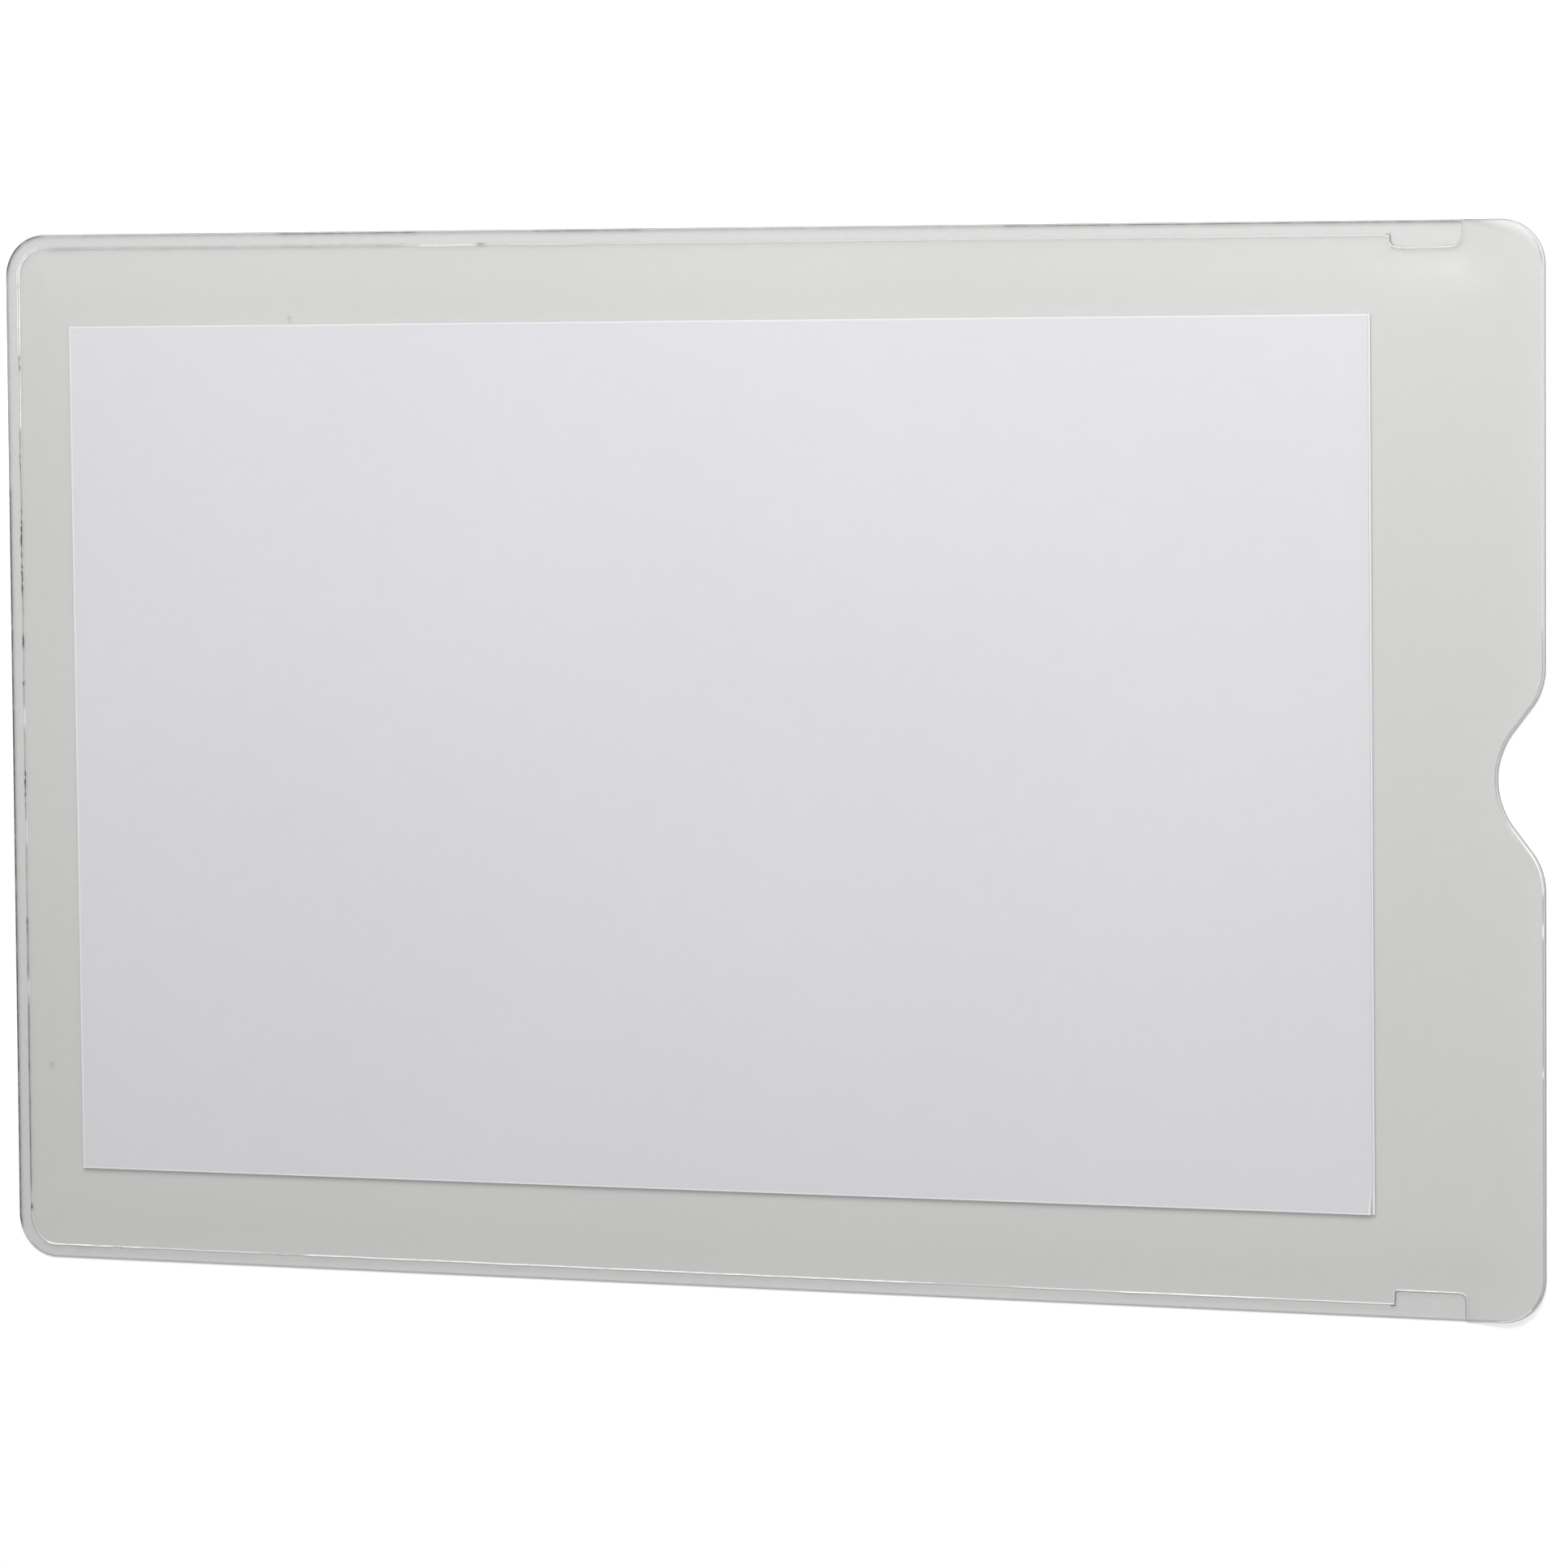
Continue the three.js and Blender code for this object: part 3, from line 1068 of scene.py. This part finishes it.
@dataclass
class BackPly:
    """The lower sheet of film, flat on the floor, thinner at its cut edge."""

    outline: Outline
    weld: Weld
    thickness: float
    step: float = 1.5
    grid_step: float = 6.0
    depths: tuple[float, ...] = (0.0, 0.06, 0.12, 0.2, 0.3, 2.6)
    bevel: float = 0.03
    # The painted shade line at the cut: its place and width, its strength along the mouth, and how much
    # weaker it is on the weld.
    line: Ridge = Ridge(1.0, 0.05, 0.1)
    mouth_tone: float = 0.6
    weld_fall: float = 0.45

    def __post_init__(self) -> None:
        """Lays out the stations along the edge."""
        self.edge = self.outline.edge(self.step, self.weld.tab_stops())
        self.welded = self.weld.welded(self.edge)

    def tones(self, places: np.ndarray, number: int) -> Masks:
        """Paints a thin grey line of shade at the cut, darker along the mouth.

        Args:
            places: the ring's points.
            number: which ring it is, -1 being the grid.

        Returns:
            The masks by name.
        """
        if not 0 <= number < len(self.depths):
            return unmarked(places, number)
        line = (self.mouth_tone - self.weld_fall * self.welded) * self.line.at(self.depths[number])
        return {"weld": 0.0, "dark": line, "bright": 0.0}

    def upper(self, places: np.ndarray, number: int) -> np.ndarray:
        """Returns the upper face's height at a ring, a little lower at the cut."""
        return np.full(len(places), self.thickness - (self.bevel if number == 0 else 0))

    def lower(self, places: np.ndarray, number: int) -> np.ndarray:
        """Returns the lower face's height at a ring, a little higher at the cut."""
        return np.full(len(places), self.bevel if number == 0 else 0.0)

    def make(self) -> bpy.types.Object:
        """Makes the back ply.

        Returns:
            The piece, which stands for its CAD node.
        """
        skin = Skin(self.edge, self.outline.half_length, self.outline.half_height, self.grid_step)
        rings = skin.rings([np.full(len(self.edge.points), depth) for depth in self.depths])
        mesh = FilmMesh(skin)
        mesh.add_skin(rings, self.upper, self.tones, upward=True)
        mesh.add_skin(rings, self.lower, self.tones, upward=False)
        film = FilmFinish("back_film", opacity=0.18)
        piece = mesh.build("back_ply_film", film, CutEdgeFinish("back_cut_edge"))
        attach(piece, BODY)
        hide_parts("back_ply")
        return piece


@dataclass
class FrontPly:
    """The upper sheet of film, pressed along the weld and draped over the insert.

    The near_ and past_ rings are measured from the film's edge and from the crease,
    where the weld ends and the pocket begins.
    """

    outline: Outline
    weld: Weld
    drape: Drape
    thickness: float
    step: float = 0.42
    grid_step: float = 3.0
    squeezed: float = 0.19
    near_edge: tuple[float, ...] = (0.0, 0.05, 0.1, 0.15, 0.2, 0.27, 0.36, 0.5, 0.9, 1.35)
    near_crease: tuple[float, ...] = (
        -0.34, -0.27, -0.21, -0.15, -0.09, -0.03, 0.03, 0.09, 0.15, 0.21, 0.27, 0.36,
    )
    past_crease: tuple[float, ...] = (0.55, 1.3, 2.4, 3.6)
    under_edge: tuple[float, ...] = (0.0, 0.3)
    under_crease: tuple[float, ...] = (0.0, 0.8, 2.2, 3.6)
    far: float = 9.0  # stands for any place well past the crease
    lug_zone: float = 6.0  # how far in from a long edge the lugs are looked for
    still_rim: float = 0.6
    tear_reach: float = 0.9
    fade_start: float = 0.4
    fade_length: float = 3.2
    lip: Ridge = Ridge(0.03, 0.14, 0.06)
    bead: Ridge = Ridge(0.09, 0.14, 0.11)
    groove: Ridge = Ridge(-0.04, -0.06, 0.08)
    # Where the painted lines lie: on the mouth's cut edge, inside the crease and outside it.
    mouth_line: Ridge = Ridge(1.0, 0.05, 0.09)
    inner_line: Ridge = Ridge(1.0, 0.19, 0.09)
    outer_line: Ridge = Ridge(1.0, -0.19, 0.08)
    # Painted shade, highlight and outer highlight of the lugs' crease lines: first end, last end, between.
    lug_first: tuple[float, float, float] = (0.9, 0.6, 0.0)
    lug_last: tuple[float, float, float] = (0.6, 0.4, 0.0)
    lug_inner: tuple[float, float, float] = (0.4, 0.5, 0.0)
    specks: tuple[Speck, ...] = (
        Speck(-72.4, 64.4, 0.55, 0.45),
        Speck(-113.7, -48.1, 0.6, 0.35),
    )

    def __post_init__(self) -> None:
        """Lays out the stations and the irregular lines along the edge."""
        self.edge = self.outline.edge(self.step, self.weld.tab_stops())
        along = self.edge.along
        length = float(along[-1])
        width = self.weld.width
        crease = self.near_crease + self.past_crease
        self.depths = [*self.near_edge, *(width + offset for offset in crease)]
        self.welded = self.weld.welded(self.edge)
        self.reach = self.weld.reach(self.edge)
        self.inset = self.weld.by_side(self.edge, "tear_inset") * self.welded
        self.widen = (self.weld.by_side(self.edge, "width") - width) * self.welded
        self.drift = Wander(12, 3.5, length)(along)
        self.grain = Wander(11, 0.55, length)(along)
        self.breaks = Wander(13, 1.7, length)(along)
        self.kinked = self.kink_weight()
        jagged = Wander(14, 0.6, length)(along)
        self.crease_shift = (0.03 * self.drift + self.kinked * jagged) * self.welded
        self.rim = self.rim_tones()
        self.crease = self.crease_tones()

    def kink_weight(self) -> np.ndarray:
        """Returns how far the crease may stray because of its kinks, at each station."""
        return sum(kink.weight(self.edge) for kink in self.weld.kinks)

    def depth(self, nominal: float) -> np.ndarray:
        """Finds a ring's true depth at each station.

        Args:
            nominal: its depth in a plain weld, measured from the film's own edge.

        Returns:
            The depth from the die-cut outline.
        """
        width = self.weld.width
        spread = ease((nominal - self.still_rim) / (width - 1.0))
        from_tear = self.inset * (1 - ease(nominal / self.tear_reach))
        fading = 1 - ease((nominal - width - self.fade_start) / self.fade_length)
        moved = (self.reach + self.widen) * spread * fading + from_tear
        return nominal + moved + self.crease_shift * bump(nominal - width, 0.4)

    def past_weld(self, places: np.ndarray, number: int) -> np.ndarray:
        """Measures how far each point of a ring lies past the crease, below 0 on the weld.

        Args:
            places: the ring's points.
            number: which ring it is.

        Returns:
            The distances, measured square to the crease round the lugs too.
        """
        known = 0 <= number < len(self.depths)
        result = np.full(len(places), self.depths[number] - self.weld.width if known else self.far)
        for tab in self.weld.tabs:
            x, deep = places[:, 0], self.outline.half_height + tab.side.value[1] * places[:, 1]
            middle, half_zone = (tab.start + tab.end) / 2, (tab.end - tab.start) / 2 + 1.0
            near = (np.abs(x - middle) < half_zone) & (deep < self.lug_zone)
            gap = distance_to(np.stack([x[near], deep[near]], axis=1), tab.path())
            inside = (x[near] < tab.end) & (deep[near] < tab.weld + tab.depth(x[near]))
            result[near] = np.where(inside, -gap, gap)
        return result

    def body(self, places: np.ndarray, number: int) -> np.ndarray:
        """Measures the film's thickness at a ring: a torn edge, the pressed band, the bead.

        Args:
            places: the ring's points.
            number: which ring it is.

        Returns:
            The thickness at each point.
        """
        if not 0 <= number < len(self.depths):
            return np.full(len(places), self.thickness)
        nominal, past = self.depths[number], self.past_weld(places, number)
        torn = self.squeezed - 0.06 * (1 - ease(nominal / 0.1)) + self.lip.at(nominal)
        band = torn + (self.thickness - self.squeezed) * ease((past + 0.04) / 0.12)
        bead = self.bead.at(past) * (1 + 0.3 * self.breaks)
        free = self.thickness - 0.05 * (1 - ease(nominal / 0.06))
        return free * (1 - self.welded) + (band + bead + self.groove.at(past)) * self.welded

    def rim_tones(self) -> np.ndarray:
        """Finds the painted shade and highlight of the line at the film's own edge.

        Returns:
            Rows of painted shade, painted highlight and outer painted highlight, one column a station.
        """
        dark = self.weld.by_side(self.edge, "rim_dark") * self.welded
        base = np.stack([dark, 0 * dark, 0 * dark])
        tones = self.weld.painted(self.edge, self.weld.rim_strokes, base)
        return tones * np.clip(0.96 + 0.16 * self.grain + 0.1 * self.breaks, 0, 1)

    def crease_tones(self) -> np.ndarray:
        """Finds the painted shade and highlight of the crease, with its breaks, its kinks and its lugs.

        Returns:
            Rows of painted shade, painted highlight and outer painted highlight, one column a station.
        """
        weld, x, upper = self.weld, self.edge.points[:, 0], self.edge.points[:, 1] > 0
        dark, bright = (weld.by_side(self.edge, trait) for trait in ("crease_dark", "crease_painted_highlight"))
        tones = weld.painted(self.edge, weld.strokes, np.stack([dark, bright, 0 * dark]))
        tones = tones * np.clip(1 + 0.15 * self.grain + 0.12 * self.breaks, 0, 1.4)
        # Painted shade and glints where the crease crumples at the kinks.
        crumpled = np.clip(self.kinked / 0.1, 0, 1)
        tones[0] += crumpled * (self.grain > 0.1)
        tones[1] = tones[1] * (1 - 0.6 * crumpled) + 0.3 * crumpled * (self.grain < -0.25)
        # Painted lines of the lugs' creases.
        lug_tones = (self.lug_first, self.lug_last, self.lug_inner)
        first_tone, last_tone, inner_tone = (np.array(tone)[:, None] for tone in lug_tones)
        for tab in weld.tabs:
            here = (upper == (tab.side is Side.TOP)) & (x > tab.start - 0.7) & (x < tab.end + 0.7)
            first, last = x < tab.start + 0.7, x > tab.end - 0.9
            lug = np.where(first, first_tone, np.where(last, last_tone, inner_tone))
            tones = np.where(here, lug * np.clip(0.95 + 0.5 * self.grain, 0.2, 1.2), tones)
        return tones

    def tones(self, places: np.ndarray, number: int) -> Masks:
        """Marks the band, and paints shade and highlight lines at the edge and along the crease.

        Args:
            places: the ring's points.
            number: which ring it is, -1 being the grid.

        Returns:
            The masks by name.
        """
        if number < 0:
            return unmarked(places, number)
        nominal = self.depths[number] if number < len(self.depths) else self.far
        past = self.past_weld(places, number)
        band = self.welded * (1 - ease((past + 0.1) / 0.16))
        starts, ends = min(tab.start for tab in self.weld.tabs), max(tab.end for tab in self.weld.tabs)
        beside = (places[:, 0] > starts - 0.5) & (places[:, 0] < ends + 0.6)
        deep = np.abs(places[:, 1]) > self.outline.half_height - self.lug_zone
        on = np.where(beside & deep, 1.0, self.welded)
        rim_place = self.mouth_line.place + 0.13 * self.welded
        rim_width = 0.1 * (1 - self.welded) + self.welded * self.weld.by_side(self.edge, "rim_width")
        crease_width = 0.1 + 0.1 * np.clip(self.crease[0] - 0.45, 0, 0.5)
        # Painted shade lines at the cut edge and along the crease.
        dark = self.rim[0] * bump(nominal - rim_place, rim_width)
        dark = dark + on * self.crease[0] * bump(past, crease_width)
        # Painted highlight on the mouth's cut edge and on either side of the crease.
        bright = self.rim[1] * bump(nominal - rim_place, self.mouth_line.width) * (1 - self.welded)
        lines = self.crease[1] * self.inner_line.at(past) + self.crease[2] * self.outer_line.at(past)
        return {"weld": band, "dark": dark, "bright": bright + on * lines}

    def lower(self, places: np.ndarray, number: int) -> np.ndarray:
        """Returns the lower face's height at a ring."""
        return self.drape.film + SEAM_GAP + self.drape.lift(*places.T)

    def upper(self, places: np.ndarray, number: int) -> np.ndarray:
        """Returns the upper face's height at a ring."""
        return self.lower(places, number) + self.body(places, number)

    def make(self) -> bpy.types.Object:
        """Makes the front ply.

        Returns:
            The piece, which stands for its CAD node.
        """
        skin = Skin(self.edge, self.outline.half_length, self.outline.half_height, self.grid_step)
        under = [*self.under_edge, *(self.weld.width + past for past in self.under_crease)]
        upper_rings = skin.rings([self.depth(nominal) for nominal in self.depths])
        lower_rings = skin.rings([self.depth(nominal) for nominal in under])
        mesh = FilmMesh(skin)
        mesh.add_skin(upper_rings, self.upper, self.tones, upward=True)
        mesh.add_skin(lower_rings, self.lower, unmarked, upward=False)
        film = FilmFinish("front_film", specks=self.specks)
        piece = mesh.build("front_ply_film", film, CutEdgeFinish("front_cut_edge"))
        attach(piece, BODY)
        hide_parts("front_ply")
        return piece


@dataclass
class Leaf:
    """One leaf of the insert, cut square, with a corner that may curl a little."""

    node: str
    slot: str
    length: float
    height: float
    turn_deg: float
    curl: float = 0.0
    curl_rise: float = 0.0
    curl_reach: float = 4.6
    curl_length: float = 9.0
    # Painted highlight along the cut edges, on the right edge rising to full at the curled corner, and
    # painted shade in the gap inside that corner.
    right_edge_highlight: float = 0.4
    other_edge_highlight: float = 0.6
    rim_width: float = 0.22
    gap_shade: float = 0.0
    gap_width: float = 0.65
    step: float = 2.4
    near_edge: tuple[float, ...] = (0.2, 0.25, 0.6, 0.68, 1.2, 1.7)

    def __post_init__(self) -> None:
        """Lays out the sheet's points before it curls, and how much of the curl each has."""
        self.xs, self.ys = self.stops(self.length), self.stops(self.height)
        self.flat = np.stack(np.meshgrid(self.xs, self.ys), axis=-1).reshape(-1, 2)
        corner = ease(1 - (self.flat[:, 1] + self.height / 2) / self.curl_reach)
        inward = (self.flat[:, 0] - self.length / 2 + self.curl_length) / self.curl_length
        self.corner = corner * ease(inward)

    def stops(self, size: float) -> np.ndarray:
        """Finds places across the leaf, closer together towards both of its edges.

        Args:
            size: how far it is across.

        Returns:
            The places, from edge to edge.
        """
        half = size / 2
        plain = np.linspace(-half, half, math.ceil(size / self.step) + 1)
        close = np.array(self.near_edge)
        return np.unique(np.concatenate([plain, half - close, close - half]))

    def tones(self) -> dict[str, np.ndarray]:
        """Paints a highlight along the cut edges, and shade in the gap inside the curled corner.

        Returns:
            The masks by name, for both faces.
        """
        from_right, from_foot = self.length / 2 - self.flat[:, 0], self.flat[:, 1] + self.height / 2
        others = np.minimum(from_foot, np.minimum(self.height - from_foot, self.length - from_right))
        # Painted highlight along the cut edges.
        right = (self.right_edge_highlight + (1 - self.right_edge_highlight) * self.corner) * (from_right < self.rim_width)
        rim = np.maximum(right, self.other_edge_highlight * (others < self.rim_width))
        in_gap = (from_right > self.rim_width) & (from_right < self.gap_width)
        shade = self.gap_shade * self.corner * in_gap
        return {"rim": np.tile(rim, 2), "shade": np.tile(shade, 2)}

    def make(self) -> bpy.types.Object:
        """Makes the leaf.

        Returns:
            The piece, which stands for its CAD node.
        """
        low, high = (np.array(corner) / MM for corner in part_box(self.node))
        centre = (low + high) / 2
        turn = math.radians(self.turn_deg)
        spin = np.array([[math.cos(turn), math.sin(turn)], [-math.sin(turn), math.cos(turn)]])
        placed = (self.flat - np.outer(self.corner, [self.curl, 0])) @ spin + centre[:2]
        rise = self.curl_rise * self.corner
        top = np.column_stack([placed, high[2] - SEAM_GAP / 2 + rise])
        bottom = np.column_stack([placed, low[2] + SEAM_GAP + rise])
        quads, border = lattice(len(self.xs), len(self.ys))
        following, below = np.roll(border, -1), len(self.flat)
        walls = np.stack([border + below, following + below, following, border], axis=1)
        faces = quads.tolist() + (quads[:, ::-1] + below).tolist() + walls.tolist()
        paper = PaperFinish(self.slot).material()
        piece = solid(self.node + "_sheet", np.vstack([top, bottom]), faces, [paper])
        carry(piece, self.tones())
        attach(piece, BODY)
        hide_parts(self.node)
        return piece


@dataclass
class Jacket:
    """The whole envelope: two plies of film with two leaves of paper between them."""

    insert_length: float = 203.2
    insert_height: float = 127.0
    insert_turn_deg: float = 0.207

    def make(self) -> list[bpy.types.Object]:
        """Makes every piece of the jacket.

        Returns:
            The pieces, from the bottom up.
        """
        low, high = (np.array(corner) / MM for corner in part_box("back_ply"))
        film = float(high[2] - low[2])
        stack = float((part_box("front_leaf")[1].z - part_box("rear_leaf")[0].z) / MM)
        outline, weld = Outline(float(high[0]), float(high[1])), Weld()
        drape = Drape(outline, weld, film, stack)
        size = (self.insert_length, self.insert_height, self.insert_turn_deg)
        return [
            BackPly(outline, weld, film).make(),
            Leaf("rear_leaf", "rear_paper", *size, right_edge_highlight=0.7, gap_shade=0.6).make(),
            Leaf("front_leaf", "front_paper", *size, curl=0.35, curl_rise=0.05, right_edge_highlight=0.0).make(),
            FrontPly(outline, weld, drape, film).make(),
        ]


@dataclass(frozen=True)
class Studio:
    """The floor, the lights and the camera."""

    floor_size: float = 6000.0
    floor_level: float = 0.95
    sky: float = 0.375
    key_watts: float = 7.2
    key_side: float = 0.42
    key_place: tuple[float, float, float] = (0.1, 0.44, 0.52)
    sensor: float = 36.0
    focal_px: float = 9076.4
    image_px: float = 1932.0
    clip: tuple[float, float] = (0.01, 50.0)
    turn_deg: tuple[float, float, float] = (4.023, -21.480, 0.472)
    offset: tuple[float, float, float] = (-5.284, 3.534, -1070.6)
    plane_height: float = 0.4

    def camera(self) -> None:
        """Places the camera where it sees the jacket from the photograph's angle."""
        data = bpy.data.cameras.new("camera")
        data.sensor_width = self.sensor
        data.lens = self.focal_px / self.image_px * data.sensor_width
        data.clip_start, data.clip_end = self.clip
        turns = [Matrix.Rotation(math.radians(a), 3, axis) for a, axis in zip(self.turn_deg, "XYZ")]
        facing = (turns[0] @ turns[1] @ turns[2]).transposed()
        place = -(facing @ Vector(self.offset)) + Vector((0, 0, self.plane_height))
        camera = bpy.data.objects.new("camera", data)
        camera.matrix_world = Matrix.Translation(place * MM) @ facing.to_4x4()
        bpy.context.scene.collection.objects.link(camera)
        bpy.context.scene.camera = camera

    def floor(self) -> None:
        """Lays a plain pale floor just under the jacket."""
        finish = Bench("floor").finish(Base_Color=grey(self.floor_level), Roughness=0.8)
        square = np.array([[-1, -1, 0], [1, -1, 0], [1, 1, 0], [-1, 1, 0]])
        corners = square * self.floor_size / 2 - [0, 0, SEAM_GAP]
        solid("floor", corners, [[0, 1, 2, 3]], [finish])

    def lights(self) -> None:
        """Lights the jacket from a pale sky and a soft lamp beyond its upper edge."""
        world = bpy.data.worlds.new("studio")
        world.use_nodes = True
        sky = world.node_tree.nodes["Background"]
        sky.inputs["Color"].default_value = (1, 1, 1, 1)
        sky.inputs["Strength"].default_value = self.sky
        bpy.context.scene.world = world
        bpy.context.scene.view_settings.view_transform = "Standard"
        data = bpy.data.lights.new("key", "AREA")
        data.shape, data.size, data.energy = "SQUARE", self.key_side, self.key_watts
        lamp = bpy.data.objects.new("key", data)
        lamp.location = self.key_place
        lamp.rotation_euler = (-Vector(self.key_place)).to_track_quat("-Z", "Y").to_euler()
        bpy.context.scene.collection.objects.link(lamp)


def main() -> None:
    """Builds the studio and the jacket, and reports each piece."""
    logging.basicConfig(level=logging.INFO, format="%(name)s: %(message)s")
    studio = Studio()
    studio.camera()
    studio.floor()
    studio.lights()
    for piece in Jacket().make():
        LOG.info("%s: %d faces", piece.name, len(piece.data.polygons))


if __name__ == "__main__":
    main()
